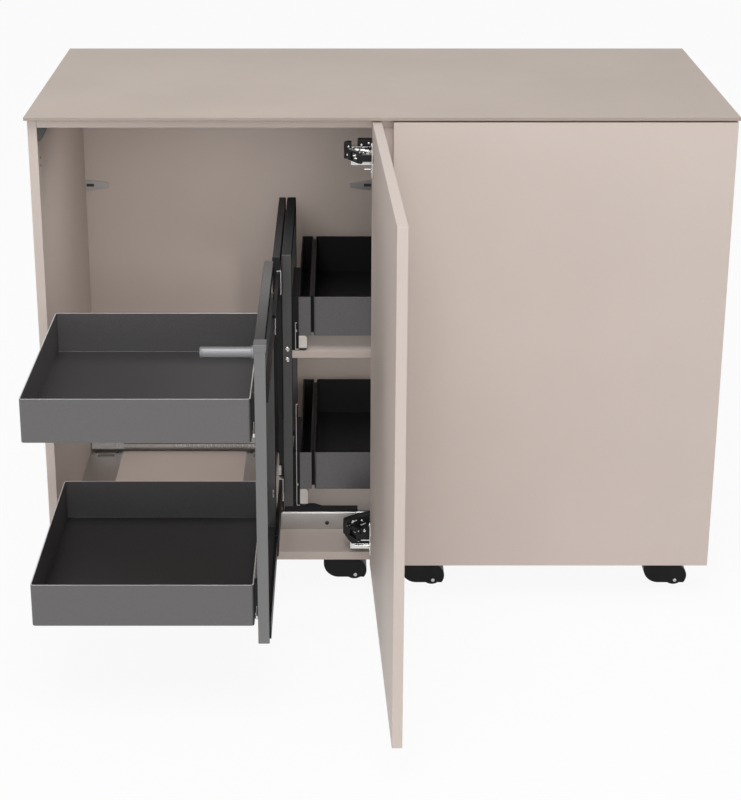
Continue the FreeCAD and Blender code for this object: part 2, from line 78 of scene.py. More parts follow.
class Finish:
    """A procedural material, with its textures in metres of the object's own space."""

    def __init__(self, name, roughness, metallic=0.0, specular=0.5):
        self.material = bpy.data.materials.new(name)
        self.material.use_nodes = True
        self.nodes = self.material.node_tree.nodes
        self.links = self.material.node_tree.links
        self.shader = self.nodes["Principled BSDF"]
        self.shader.inputs["Roughness"].default_value = roughness
        self.shader.inputs["Metallic"].default_value = metallic
        self.shader.inputs["Specular IOR Level"].default_value = specular
        self.place = self.nodes.new("ShaderNodeTexCoord").outputs["Object"]
        self.height = None

    def noise(self, scale, detail=3.0, stretch=(1, 1, 1)):
        """A noise whose grains are 1/scale metres wide, drawn out along an axis by stretch."""
        mapping = self.nodes.new("ShaderNodeMapping")
        mapping.inputs["Scale"].default_value = stretch
        self.links.new(self.place, mapping.inputs["Vector"])
        texture = self.nodes.new("ShaderNodeTexNoise")
        texture.inputs["Scale"].default_value = scale
        texture.inputs["Detail"].default_value = detail
        self.links.new(mapping.outputs["Vector"], texture.inputs["Vector"])
        return texture.outputs["Fac"]

    def ramp(self, value, low, high, tones):
        """Tones between two levels of a value."""
        ramp = self.nodes.new("ShaderNodeValToRGB")
        ramp.color_ramp.elements[0].position = low
        ramp.color_ramp.elements[1].position = high
        ramp.color_ramp.elements[0].color = tones[0]
        ramp.color_ramp.elements[1].color = tones[1]
        self.links.new(value, ramp.inputs["Fac"])
        return ramp.outputs["Color"]

    def mix(self, factor, first, second):
        """A blend of two colours."""
        mixer = self.nodes.new("ShaderNodeMix")
        mixer.data_type = "RGBA"
        mixer.inputs["Factor"].default_value = factor
        self.links.new(first, mixer.inputs["A"])
        self.links.new(second, mixer.inputs["B"])
        return mixer.outputs["Result"]

    def colour(self, value):
        """The base colour."""
        self.links.new(value, self.shader.inputs["Base Color"])

    def rough(self, value, low, high):
        """Roughness that follows a value between two levels."""
        span = self.nodes.new("ShaderNodeMapRange")
        span.inputs["From Min"].default_value = NOISE_LOW
        span.inputs["From Max"].default_value = NOISE_HIGH
        span.inputs["To Min"].default_value = low
        span.inputs["To Max"].default_value = high
        self.links.new(value, span.inputs["Value"])
        self.links.new(span.outputs["Result"], self.shader.inputs["Roughness"])

    def bump(self, value, depth, strength=1.0):
        """Relief of a value, depth in metres."""
        relief = self.nodes.new("ShaderNodeBump")
        relief.inputs["Distance"].default_value = depth
        relief.inputs["Strength"].default_value = strength
        self.links.new(value, relief.inputs["Height"])
        if self.height is not None:
            self.links.new(self.height, relief.inputs["Normal"])
        self.height = relief.outputs["Normal"]
        self.links.new(self.height, self.shader.inputs["Normal"])


def lacquer(name, tone, spread, roughness, grain, depth):
    """Matt lacquered board: faint cloudiness and a fine sprayed grain."""
    made = Finish(name, roughness, specular=0.35)
    pair = shades(tone, spread)
    clouds = made.ramp(made.noise(5.0, 4.0), 0.35, 0.65, pair)
    flecks = made.ramp(made.noise(grain, 2.0), 0.38, 0.62, pair)
    made.colour(made.mix(0.45, clouds, flecks))
    made.rough(made.noise(grain * 0.4, 2.0), roughness - 0.05, roughness + 0.06)
    made.bump(made.noise(grain, 3.0), depth, 0.6)
    return made.material


def powder(name, tone, spread, roughness, metallic, grain=1100.0, depth=0.00012, specular=0.5):
    """Powder-coated steel: fine texture with slightly lighter flakes."""
    made = Finish(name, roughness, metallic, specular)
    pair = shades(tone, spread)
    made.colour(made.ramp(made.noise(grain, 2.0), 0.34, 0.66, pair))
    made.rough(made.noise(grain * 0.5, 2.0), roughness - 0.06, roughness + 0.07)
    made.bump(made.noise(grain, 2.0), depth, 0.5)
    return made.material


def metal(name, tone, roughness, brushed, spread=10, depth=0.00004):
    """Bare or plated metal, brushed along one axis."""
    made = Finish(name, roughness, 1.0, 0.5)
    pair = shades(tone, spread)
    lines = made.noise(420.0, 4.0, brushed)
    made.colour(made.ramp(lines, 0.35, 0.65, pair))
    made.rough(lines, roughness - 0.07, roughness + 0.1)
    made.bump(lines, depth, 0.4)
    return made.material


def plastic(name, tone, roughness, spread=5, grain=900.0, depth=0.00006, specular=0.45):
    """Moulded plastic with an eroded mould grain."""
    made = Finish(name, roughness, 0.0, specular)
    pair = shades(tone, spread)
    made.colour(made.ramp(made.noise(30.0, 3.0), 0.35, 0.65, pair))
    made.rough(made.noise(grain * 0.3, 3.0), roughness - 0.06, roughness + 0.08)
    made.bump(made.noise(grain, 2.0), depth, 0.5)
    return made.material


PANEL = lacquer("panel_lacquer", (201, 188, 180), 2, 0.5, 700.0, 0.00005)
WORKTOP = lacquer("worktop_laminate", (182, 168, 158), 4, 0.52, 1500.0, 0.00009)
WORKTOP_EDGE = lacquer("worktop_core", (164, 152, 143), 4, 0.5, 1500.0, 0.00006)
TRAY = powder("tray_powder_coat", (104, 102, 103), 8, 0.42, 0.6)
# Darker copy of the tray coat for the front trays' floors: painted shade
TRAY_FLOOR_SHADE = powder("tray_floor_painted_shade", (60, 58, 59), 5, 0.55, 0.1, specular=0.3)
FRAME = powder("frame_powder_coat", (118, 118, 118), 7, 0.42, 0.5, 1400.0)
# Lighter copy for the front trays' rim tops: painted highlight
TRAY_RIM_HIGHLIGHT = powder("tray_rim_painted_highlight", (205, 204, 203), 5, 0.36, 0.2)
# Darker copy of the frame coat for the rear side frames and the front frame's set-back faces: painted
# shade
FRAME_SHADE = powder("frame_painted_shade", (82, 82, 82), 6, 0.42, 0.3, 1400.0)
CARRIER = powder("carrier_powder_coat", (40, 40, 41), 5, 0.55, 0.0, 1400.0, specular=0.12)
# Darker copy of the frame coat for the front frame's tops: painted shade
FRAME_TOP_SHADE = powder("frame_top_painted_shade", (60, 60, 60), 5, 0.42, 0.3, 1400.0)
# Darkest copy of the frame coat, with no reflection, for frame sides and tops: painted shade
FRAME_DEEP_SHADE = powder("frame_painted_deep_shade", (44, 44, 44), 4, 0.8, 0.0, 1400.0, specular=0.0)
# Near-black for the rear trays' and hangers' inner and upper faces and for blocks in the hangers: painted
# shade
DEEP_SHADE = powder("deep_painted_shade", (28, 28, 29), 4, 0.5, 0.0, 1400.0, specular=0.15)
RAIL = powder("rolled_zinc", (192, 190, 188), 8, 0.34, 0.45, 500.0, 0.00003)
# Light zinc for the slides' front ends, a painted highlight, and for the latch wire
BRIGHT_ZINC_HIGHLIGHT = powder("bright_zinc_and_painted_highlight", (226, 225, 223), 6, 0.3, 0.2, 500.0, 0.00002)
STEEL = metal("zinc_steel", (190, 188, 186), 0.36, (1, 14, 14))
CHROME = metal("nickel_plate", (214, 213, 210), 0.13, (6, 6, 1), 4, 0.00001)
DARK_NICKEL = metal("dark_nickel", (84, 82, 81), 0.22, (3, 3, 3), 8, 0.00001)
BLACK_ZINC = metal("black_zinc", (44, 44, 45), 0.45, (14, 1, 14), 5, 0.00002)
HANDLE = metal("satin_handle", (128, 127, 129), 0.48, (1, 12, 12), 6)
GLIDE = plastic("glide_plastic", (224, 217, 212), 0.4)
BLACK = plastic("black_moulding", (24, 24, 25), 0.34, specular=0.25)
CATCH = plastic("catch_plastic", (58, 57, 57), 0.45)
CASTER = plastic("caster_plastic", (20, 20, 21), 0.42, 3, specular=0.16)
WHEEL = plastic("wheel_tread", (24, 24, 25), 0.5, 4, 500.0, specular=0.2)
CASTER_STEEL = metal("caster_zinc", (178, 178, 176), 0.35, (4, 4, 4))

FINISHES = {"panel": PANEL, "worktop": WORKTOP, "tray": TRAY, "frame": FRAME, "steel": STEEL,
            "chrome": CHROME, "handle": HANDLE, "glide": GLIDE, "catch": CATCH,
            "caster_plastic": CASTER, "wheel": WHEEL, "caster_steel": CASTER_STEEL}


# Pieces

SHARP_ANGLE = math.radians(35.0)


def finish_piece(obj, slot, bevel, segments=2, material=None):
    """Give a piece its material and rounded edges, the rounding in millimetres."""
    obj.data.materials.clear()
    obj.data.materials.append(material or FINISHES[slot])
    obj.data.shade_smooth()
    obj.data.set_sharp_from_angle(angle=SHARP_ANGLE)
    if bevel:
        rounding = obj.modifiers.new("edges", "BEVEL")
        rounding.width = bevel * MM
        rounding.segments = segments
        rounding.limit_method = "ANGLE"
        rounding.angle_limit = SHARP_ANGLE
        rounding.harden_normals = True
    return obj


def link_mesh(name, shape):
    """A new object of a bmesh."""
    bmesh.ops.recalc_face_normals(shape, faces=shape.faces)
    mesh = bpy.data.meshes.new(name)
    shape.to_mesh(mesh)
    shape.free()
    obj = bpy.data.objects.new(name, mesh)
    bpy.context.scene.collection.objects.link(obj)
    return obj


WELD_DISTANCE = 0.00001
FLAT_ANGLE = math.radians(0.6)


def refine(node, slot, bevel, segments=2, material=None):
    """A piece with a CAD node's shape, clean faces and rounded edges."""
    shape = bmesh.new()
    shape.from_mesh(frame["nodes"][node].data)
    bmesh.ops.remove_doubles(shape, verts=shape.verts, dist=WELD_DISTANCE)
    bmesh.ops.dissolve_limit(shape, angle_limit=FLAT_ANGLE, verts=shape.verts, edges=shape.edges)
    obj = link_mesh(node + "_skin", shape)
    finish_piece(obj, slot, bevel, segments, material=material)
    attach(obj, body_of_node[node])
    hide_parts(node)
    return obj


def span(node):
    """The X, Y and Z spans of a CAD node in millimetres."""
    low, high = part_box(node)
    return [(low[axis] / MM, high[axis] / MM) for axis in range(3)]


def arc(centre, radius, start, end, steps=8):
    """Points of an arc, angles in degrees."""
    angles = [math.radians(start + (end - start) * step / steps) for step in range(steps + 1)]
    return [(centre[0] + radius * math.cos(a), centre[1] + radius * math.sin(a)) for a in angles]


def capsule(first, last, radius):
    """The outline of a link with round ends."""
    heading = math.degrees(math.atan2(last[1] - first[1], last[0] - first[0]))
    return arc(last, radius, heading - 90, heading + 90) + arc(first, radius, heading + 90, heading + 270)


def rounded(corners, steps=6):
    """An outline with rounded corners, each corner given as (a, b, radius)."""
    outline = []
    for number, (a, b, radius) in enumerate(corners):
        here = Vector((a, b))
        if not radius:
            outline.append((a, b))
            continue
        before = (Vector(corners[number - 1][:2]) - here).normalized()
        after = (Vector(corners[(number + 1) % len(corners)][:2]) - here).normalized()
        half = before.angle(after) / 2
        centre = here + (before + after).normalized() * (radius / math.sin(half))
        first = here + before * (radius / math.tan(half)) - centre
        last = here + after * (radius / math.tan(half)) - centre
        for step in range(steps + 1):
            outline.append(tuple(centre + first.lerp(last, step / steps).normalized() * radius))
    return outline


class Form:
    """A mesh put together from simple solids, in millimetres."""

    def __init__(self):
        self.mesh = bmesh.new()

    def prism(self, outline, levels, axis):
        """An outline drawn out along an axis; its two numbers are the other axes in order."""
        order = {"x": (2, 0, 1), "y": (0, 2, 1), "z": (0, 1, 2)}[axis]
        rings = []
        for level in levels:
            corners = [(a, b, level) for a, b in outline]
            rings.append([self.mesh.verts.new([corner[i] * MM for i in order]) for corner in corners])
        self.mesh.faces.new(rings[0])
        self.mesh.faces.new(rings[1][::-1])
        for i in range(len(outline)):
            j = (i + 1) % len(outline)
            self.mesh.faces.new((rings[0][i], rings[1][i], rings[1][j], rings[0][j]))
        return self

    def block(self, x, y, z):
        """A box between two levels of each axis."""
        return self.prism([(x[0], y[0]), (x[1], y[0]), (x[1], y[1]), (x[0], y[1])], z, "z")

    def turned(self, profile, place, direction, sides=32):
        """A profile of radius and height pairs turned about a direction from a place."""
        turn = Vector(direction).to_track_quat("Z", "Y")
        rings = []
        for radius, height in profile:
            ring = []
            for step in range(sides):
                angle = 2 * math.pi * step / sides
                point = Vector((radius * math.cos(angle), radius * math.sin(angle), height))
                ring.append(self.mesh.verts.new((turn @ point + Vector(place)) * MM))
            rings.append(ring)
        for low, high in zip(rings, rings[1:]):
            for i in range(sides):
                j = (i + 1) % sides
                self.mesh.faces.new((low[i], low[j], high[j], high[i]))
        self.mesh.faces.new(rings[0][::-1])
        self.mesh.faces.new(rings[-1])
        return self

    def bar(self, start, end, radius, sides=24):
        """A round bar between two points."""
        length = (Vector(end) - Vector(start)).length
        return self.turned([(radius, 0), (radius, length)], start, Vector(end) - Vector(start), sides)

    def screw(self, place, direction, radius):
        """A screw head with a round recess."""
        profile = [(radius, 0), (radius, 0.5), (radius * 0.82, radius * 0.35),
                   (radius * 0.42, radius * 0.42), (radius * 0.36, 0.3), (radius * 0.1, 0.2)]
        return self.turned(profile, place, direction, 20)

    def piece(self, name, body, slot, bevel=0.0, segments=2, material=None, replaces=()):
        """The finished object, on a body and in a material slot."""
        obj = link_mesh(name, self.mesh)
        finish_piece(obj, slot, bevel, segments, material=material)
        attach(obj, body)
        if replaces:
            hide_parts(*replaces)
        return obj


# A face looks along an axis when its normal has more than this share of it; the rim's band is in metres
FACING = 0.5
RIM_BAND = 0.02


def tone_faces(obj, materials, choose):
    """Add materials after the first one, number 0, and let a rule choose a number for each face."""
    for material in materials:
        obj.data.materials.append(material)
    for face in obj.data.polygons:
        face.material_index = choose(face)


def is_set_back(face, front):
    """Whether a face looks forward from behind a front plane."""
    return face.normal.y < -FACING and face.center.y > front + RIM_BAND


def front_tray_tone(face, rim_low):
    """1 for the floor, in painted shade, 2 for the rim's top, a painted highlight, else the coat's 0."""
    if face.normal.z <= FACING:
        return 0
    return 1 if face.center.z < rim_low else 2


def rear_tray_tone(face, middle):
    """1 for inner and upper faces, in painted shade, else the coat's 0."""
    inward = (Vector(face.center) - middle).xy.dot(face.normal.xy) < 0
    return 1 if inward or face.normal.z > FACING else 0


def front_frame_tone(face, front):
    """1 for right faces, 2 for set-back ones, 3 for tops, each a darker painted shade, else the coat's 0.
    """
    if face.normal.z > FACING:
        return 3
    if face.normal.x > FACING:
        return 1
    return 2 if is_set_back(face, front) else 0


# Boards, worktop and door
for node in ("left_side", "right_side", "bottom_board", "top_board", "back_panel_left",
             "back_panel_right", "centre_stile", "blind_front_panel", "door", "rear_shelf"):
    refine(node, "panel", 0.8)
worktop = refine("worktop", "worktop", 0.9, 3)
tone_faces(worktop, [WORKTOP_EDGE], lambda face: 0 if abs(face.normal.z) > FACING else 1)
refine("back_join_strip", "panel", 0.6)

# Trays and hangers
for node in ("front_tray_upper", "front_tray_lower"):
    tray = refine(node, "tray", 0.6)
    rim_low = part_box(node)[1][2] - RIM_BAND
    tone_faces(tray, [TRAY_FLOOR_SHADE, TRAY_RIM_HIGHLIGHT], lambda face: front_tray_tone(face, rim_low))
for node in ("rear_tray_upper", "rear_tray_lower"):
    tray = refine(node, "tray", 0.6)
    low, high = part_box(node)
    middle = (Vector(low) + Vector(high)) / 2
    tone_faces(tray, [DEEP_SHADE], lambda face: rear_tray_tone(face, middle))
for node in ("rear_hanger_upper", "rear_hanger_lower"):
    hanger = refine(node, "tray", 0.6)
    hanger_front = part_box(node)[0][1]
    # The hangers' set-back and top faces in near-black: painted shade
    tone_faces(hanger, [DEEP_SHADE],
               lambda face: 1 if is_set_back(face, hanger_front) or face.normal.z > FACING else 0)

# Frames, slides, plates and other pieces that keep their solids' shapes; the front post's lip is trimmed
LIP_TRIM = 0.002
refine("carrier_frame", "frame", 1.2, material=CARRIER)
front_frame = refine("front_frame", "frame", 1.2)
frame_low, frame_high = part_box("front_frame")
for vertex in front_frame.data.vertices:
    if vertex.co.x > frame_high[0] - LIP_TRIM:
        vertex.co.x -= LIP_TRIM
# The front frame's right, set-back and top faces are darker: painted shade
tone_faces(front_frame, [FRAME_DEEP_SHADE, FRAME_SHADE, FRAME_TOP_SHADE],
           lambda face: front_frame_tone(face, frame_low[1]))
refine("front_tray_brackets", "frame", 1.2, material=CARRIER)
for node in ("rear_side_left", "rear_side_right"):
    # The rear side frames are darker than the front frame, and their tops and right faces darker still:
    # painted shade
    side_frame = refine(node, "frame", 1.2, material=FRAME_SHADE)
    tone_faces(side_frame, [FRAME_DEEP_SHADE],
               lambda face: 1 if face.normal.z > FACING or face.normal.x > FACING else 0)
for node in ("tie_plate_left", "tie_plate_middle", "tie_plate_right", "back_ties"):
    refine(node, "steel", 0.4)
outer_slides = refine("outer_slides", "steel", 0.2)
# The slides' front ends in a lighter zinc: painted highlight
tone_faces(outer_slides, [BRIGHT_ZINC_HIGHLIGHT], lambda face: 1 if face.normal.y < -FACING else 0)
for node in ("middle_slides", "inner_slides"):
    refine(node, "steel", 0.4, material=BLACK_ZINC)
refine("hinge_cups", "chrome", 0.4)
refine("pull_handle", "handle", 0.8)
refine("caster_mounts", "caster_steel", 0.5)

# Hinges: plate, arm, dark housing, links and screws, listed by X, height from a hinge's level and radius
FRONT_Y = span("left_side")[1][0]
STILE_X = span("centre_stile")[0][0]
ARM_Y, ARM_Z = span("hinge_arms")[1:]
CUP_X, CUP_Y = span("hinge_cups")[:2]
ARM_HALF = 15.0
HINGE_LEVELS = (ARM_Z[0] + ARM_HALF, ARM_Z[1] - ARM_HALF)
PLATE_X = STILE_X - 4
PLATE_Y = (FRONT_Y + 6, FRONT_Y + 58)
PLATE_HALF = 24
PLATE_SCREW_Y = FRONT_Y + 32
PLATE_SCREW_RISE = 19
ARM_LEFT = -13
ARM_FRONT = FRONT_Y + 16
ARM_NOSE = FRONT_Y + 54
ARM_BACK = FRONT_Y + 62
ARM_BODY_HALF = 11
ARM_SCREWS_Y = (FRONT_Y + 24, FRONT_Y + 42)
LOWER_PLATE_X = (-50, -15)
LOWER_PLATE_Y = (FRONT_Y + 1, FRONT_Y + 9)
LOWER_LIP_X = (-52, -50)
LOWER_LIP_RISE = 4
BEAD_X = (-44, -17)
BEAD_Y = FRONT_Y - 0.5
BEAD_DROP = 3
BEAD_RADIUS = 1.6
BODY_Y = (FRONT_Y + 0.6, FRONT_Y + 12)
SPOT_Y = FRONT_Y + 1
BAR_Y = FRONT_Y - 0.2
HOUSING_Y = (FRONT_Y + 1, FRONT_Y + 16)
RIB_HALF = 0.9
RIB_Y = (FRONT_Y - 1.2, FRONT_Y + 1.2)
TONGUE_X = (-42, CUP_X[0] + 3.4)
TONGUE_Y = (ARM_Y[0], ARM_Y[0] + 6)
TONGUE_HALF = 6.0
LONG_LINK = ((-53, FRONT_Y - 4), (-37, ARM_Y[0] + 4))
SHORT_LINK = ((-41, FRONT_Y + 2), (-31, ARM_Y[0] + 8))
LINK_RADIUS = 4.5
LINK_THICK = 2.5
LINK_RISES = (-9.0, 6.5)
KNUCKLE_Y = FRONT_Y + 4
KNUCKLE_HALF = 9.0
SHORT_RADIUS = 4.0
SHORT_HALF = 5.5
PIN_HALF = 10.5
PIN_RADIUS = 2.2
LOW_HOUSING = ([(-65, -8, 2), (-51, -29, 2), (-15, -29, 1), (-15, 30, 3), (-40, 24, 4), (-65, 15, 5)],)
HIGH_HOUSING = ([(-64, -9, 2), (-51, -9, 1), (-51, 19, 1), (-64, 19, 4)],
                [(-41, 9, 1), (-15, 9, 1), (-15, 24, 3), (-41, 24, 2)])
LOW_SPOTS = ((-56, 6, 2.2), (-47, 14, 2.8), (-31, 17, 2.2), (-42, -6, 2.4), (-26, -4, 3.0),
             (-34, -20, 2.0))
HIGH_SPOTS = ((-56, 12, 2.0), (-58, -2, 1.8), (-34, 15, 2.2), (-22, 18, 2.0))
LOW_LINKS = (((-50, 12), (-40, 18), 1.5), ((-46, -4), (-34, 2), 1.7), ((-40, -16), (-28, -12), 1.9),
             ((-33, 8), (-24, 12), 1.4), ((-24, -20), (-16, -17), 1.6))
HIGH_LINKS = (((-55, 2), (-38, 7), 2.4), ((-52, -4), (-30, 1), 2.8), ((-46, -8), (-17, -5), 2.4),
              ((-36, 6), (-17, 4), 2.0), ((-30, -27), (-17, -27), 1.0))
LOW_BODY = ((-38, -16), (-24, -18))
HIGH_BODY = ((-51, -15), (-10, 12))
LOW_RIBS = (-30, -22)
HIGH_RIBS = (-47, -40, -34, -27, -20)
HINGES = ((HINGE_LEVELS[0], LOW_HOUSING, LOW_SPOTS, LOW_LINKS, (-40, -30), LOW_BODY, LOW_RIBS),
          (HINGE_LEVELS[1], HIGH_HOUSING, HIGH_SPOTS, HIGH_LINKS, (-20, -11), HIGH_BODY, HIGH_RIBS))
for number, (level, housing, spots, links, plate, body, ribs) in enumerate(HINGES, start=1):
    hinge = Form()
    hinge.block((PLATE_X, STILE_X), PLATE_Y, (level - PLATE_HALF, level + PLATE_HALF))
    arm = rounded([(ARM_LEFT, ARM_FRONT, 2), (PLATE_X, ARM_FRONT, 0), (PLATE_X, ARM_BACK, 0),
                   (ARM_LEFT, ARM_NOSE, 5)])
    hinge.prism(arm, (level - ARM_BODY_HALF, level + ARM_BODY_HALF), "z")
    plate_low, plate_high = level + plate[0], level + plate[1]
    hinge.block(LOWER_PLATE_X, LOWER_PLATE_Y, (plate_low, plate_high))
    hinge.block(LOWER_LIP_X, LOWER_PLATE_Y, (plate_low, plate_high + LOWER_LIP_RISE))
    bead_z = plate_high - BEAD_DROP
    hinge.bar((BEAD_X[0], BEAD_Y, bead_z), (BEAD_X[1], BEAD_Y, bead_z), BEAD_RADIUS, 16)
    body_low, body_high = level + body[1][0], level + body[1][1]
    hinge.block(body[0], BODY_Y, (body_low, body_high))
    for x, rise, radius in spots:
        hinge.screw((x, SPOT_Y, level + rise), FORWARD, radius)
    for (x0, rise0), (x1, rise1), radius in links:
        hinge.bar((x0, BAR_Y, level + rise0), (x1, BAR_Y, level + rise1), radius, 16)
    for x, y in LONG_LINK:
        hinge.bar((x, y, level - PIN_HALF), (x, y, level + PIN_HALF), PIN_RADIUS, 20)
    for y in ARM_SCREWS_Y:
        hinge.screw((ARM_LEFT, y, level), LEFT, 4.2)
    for rise in (-PLATE_SCREW_RISE, PLATE_SCREW_RISE):
        hinge.screw((PLATE_X, PLATE_SCREW_Y, level + rise), LEFT, 4.0)
    hinge.piece("hinge_links_%d" % number, "cabinet", "chrome", 0.4, replaces=("hinge_arms",))
    shell = Form()
    for corners in housing:
        outline = [(x, level + rise) for x, rise in rounded(corners)]
        shell.prism(outline, HOUSING_Y, "y")
    for x in ribs:
        shell.block((x - RIB_HALF, x + RIB_HALF), RIB_Y, (body_low + 2, body_high - 1))
    long_link = capsule(*LONG_LINK, LINK_RADIUS)
    for rise in LINK_RISES:
        low = level + rise
        shell.prism(long_link, (low, low + LINK_THICK), "z")
    knuckle = capsule(LONG_LINK[0], (LONG_LINK[0][0], KNUCKLE_Y), LINK_RADIUS)
    shell.prism(knuckle, (level - KNUCKLE_HALF, level + KNUCKLE_HALF), "z")
    shell.prism(capsule(*SHORT_LINK, SHORT_RADIUS), (level - SHORT_HALF, level + SHORT_HALF), "z")
    shell.block(TONGUE_X, TONGUE_Y, (level - TONGUE_HALF, level + TONGUE_HALF))
    shell.piece("hinge_housing_%d" % number, "cabinet", "chrome", 0.8, material=BLACK)

# Screws and front edges of the hinge flanges in the door
FLANGE_HALF = 29
FLANGE_SCREW_RISE = 23
cup_middle = (CUP_Y[0] + CUP_Y[1]) / 2
flange_screws = Form()
for level in HINGE_LEVELS:
    for rise in (-FLANGE_SCREW_RISE, FLANGE_SCREW_RISE):
        flange_screws.screw((CUP_X[0] + 0.5, cup_middle, level + rise), LEFT, 4.0)
    flange_z = (level - FLANGE_HALF, level + FLANGE_HALF)
    flange_screws.block((CUP_X[0], CUP_X[0] + 1.4), (CUP_Y[0] - 1.0, CUP_Y[0] + 0.4), flange_z)
flange_screws.piece("hinge_flange_screws", "door", "chrome", 0.0)

# Floor rails: rolled profiles, the back one with a shorter front leg
FRONT_LEG_GAP = 8.0
RAIL_WALL = 2
RAIL_ROUND = 4.5
for node, gap in (("front_rail", 0.0), ("back_rail", FRONT_LEG_GAP)):
    rail_x, rail_y, rail_z = span(node)
    leg_low = rail_z[0] + gap
    outer = rounded([(rail_y[0], leg_low, 0), (rail_y[0], rail_z[1], RAIL_ROUND),
                     (rail_y[1], rail_z[1], RAIL_ROUND), (rail_y[1], rail_z[0], 0)])
    inner_y = (rail_y[0] + RAIL_WALL, rail_y[1] - RAIL_WALL)
    inner_top = rail_z[1] - RAIL_WALL
    inner_round = RAIL_ROUND - RAIL_WALL
    inner = rounded([(inner_y[1], rail_z[0], 0), (inner_y[1], inner_top, inner_round),
                     (inner_y[0], inner_top, inner_round), (inner_y[0], leg_low, 0)])
    profile = Form().prism(outer + inner, rail_x, "x")
    coat = RAIL if gap else None
    profile.piece(node + "_profile", "cabinet", "steel", 0.0, material=coat, replaces=(node,))

# Front rail: five screws
SCREW_RISE = 13
SCREW_START = -95
SCREW_PITCH = 155
SCREW_COUNT = 5
rail_y, rail_z = span("front_rail")[1:]
rail_fixings = Form()
for step in range(SCREW_COUNT):
    x = SCREW_START + step * SCREW_PITCH
    rail_fixings.screw((x, rail_y[0], rail_z[0] + SCREW_RISE), FORWARD, 4.0)
rail_fixings.piece("front_rail_screws", "cabinet", "steel", material=DARK_NICKEL)

# Back rail: two dark lines of painted shade for its grooves, a ball cage, an end plate and the foot of the
# carrier's panel
END_PLATE_LENGTH = 66
END_PLATE_THICK = 2.2
END_PLATE_RISE = 8.5
END_SCREW = (52, 18)
GROOVE_RISES = (9.0, 19.0)
GROOVE_WIDTH = 1.2
GROOVE_DEPTH = 0.5
CAGE_X = (-410, -250)
CAGE_RISES = (10.5, 18.5)
CAGE_THICK = 1.0
BALL_RISE = 14.5
BALL_COUNT = 18
BALL_PITCH = 9.0
BALL = [(3.0, 0), (2.7, 1.2), (1.6, 2.3), (0.3, 2.7)]
PANEL_FOOT_X = (-206, -176)
PANEL_FOOT_THICK = 3.0
rail_x, rail_y, rail_z = span("back_rail")
plate_end = rail_x[0] + END_PLATE_LENGTH
groove_shade = Form()
groove_y = (rail_y[0] - GROOVE_DEPTH, rail_y[0])
for rise in GROOVE_RISES:
    low = rail_z[0] + rise
    groove_shade.block((plate_end, rail_x[1] - 4), groove_y, (low, low + GROOVE_WIDTH))
groove_shade.piece("back_rail_groove_shade", "cabinet", "steel", 0.0, material=DARK_NICKEL)
cage = Form()
cage_y = rail_y[0] - CAGE_THICK
cage.block(CAGE_X, (cage_y, rail_y[0]), (rail_z[0] + CAGE_RISES[0], rail_z[0] + CAGE_RISES[1]))
for step in range(BALL_COUNT):
    x = CAGE_X[0] + 4 + step * BALL_PITCH
    cage.turned(BALL, (x, cage_y, rail_z[0] + BALL_RISE), FORWARD, 20)
cage.piece("back_rail_ball_cage", "cabinet", "steel", 0.0, material=RAIL)
end_plate = Form()
plate_front = rail_y[0] - END_PLATE_THICK
end_plate_z = (rail_z[0] + END_PLATE_RISE, rail_z[1] - RAIL_WALL)
end_plate.block((rail_x[0], plate_end), (plate_front, rail_y[0]), end_plate_z)
end_plate.screw((rail_x[0] + END_SCREW[0], plate_front, rail_z[0] + END_SCREW[1]), FORWARD, 4.0)
end_plate.piece("back_rail_end_plate", "cabinet", "steel", 0.5, material=RAIL)
panel_foot = Form()
panel_foot.block(PANEL_FOOT_X, (rail_y[0] - PANEL_FOOT_THICK, rail_y[0]), (rail_z[0], rail_z[1] + 4))
panel_foot.piece("carrier_panel_foot", "cabinet", "frame", 0.5, material=CARRIER)

# Tie plates: rivets, and a dark rim of painted shade round each slot
SLOT_BACK = 30.0
SLOT_LENGTH = 30.0
SLOT_WIDTH = 9.0
SLOT_SHADE_BAND = 1.3
SLOT_SHADE_DEPTH = 1.0
SLOT_SHADE_PROUD = 0.4
RIVET_INSET = 11
RIVET_BACK = 9
RIVET_HEAD = [(2.6, 0), (2.4, 0.8), (1.2, 1.5), (0.2, 1.7)]
slot_shades = Form()
rivets = Form()
for node in ("tie_plate_left", "tie_plate_middle", "tie_plate_right"):
    plate_x, plate_y, plate_z = span(node)
    plate_sum = plate_x[0] + plate_x[1]
    slot_x = ((plate_sum - SLOT_LENGTH) / 2, (plate_sum + SLOT_LENGTH) / 2)
    slot_y = (plate_y[1] - SLOT_BACK, plate_y[1] - SLOT_BACK + SLOT_WIDTH)
    slot_shade_x = (slot_x[0] - SLOT_SHADE_BAND, slot_x[1] + SLOT_SHADE_BAND)
    slot_shade_z = (plate_z[1] - SLOT_SHADE_DEPTH, plate_z[1] + SLOT_SHADE_PROUD)
    slot_shades.block(slot_shade_x, (slot_y[0] - SLOT_SHADE_BAND, slot_y[0]), slot_shade_z)
    slot_shades.block(slot_shade_x, (slot_y[1], slot_y[1] + SLOT_SHADE_BAND), slot_shade_z)
    slot_shades.block((slot_shade_x[0], slot_x[0]), slot_y, slot_shade_z)
    slot_shades.block((slot_x[1], slot_shade_x[1]), slot_y, slot_shade_z)
    for x in (plate_x[0] + RIVET_INSET, plate_x[1] - RIVET_INSET):
        rivets.turned(RIVET_HEAD, (x, plate_y[1] - RIVET_BACK, plate_z[1]), UP, 20)
rivets.piece("tie_plate_rivets", "cabinet", "steel", material=DARK_NICKEL)
slot_shades.piece("tie_plate_slot_shades", "cabinet", "steel", material=DARK_NICKEL)

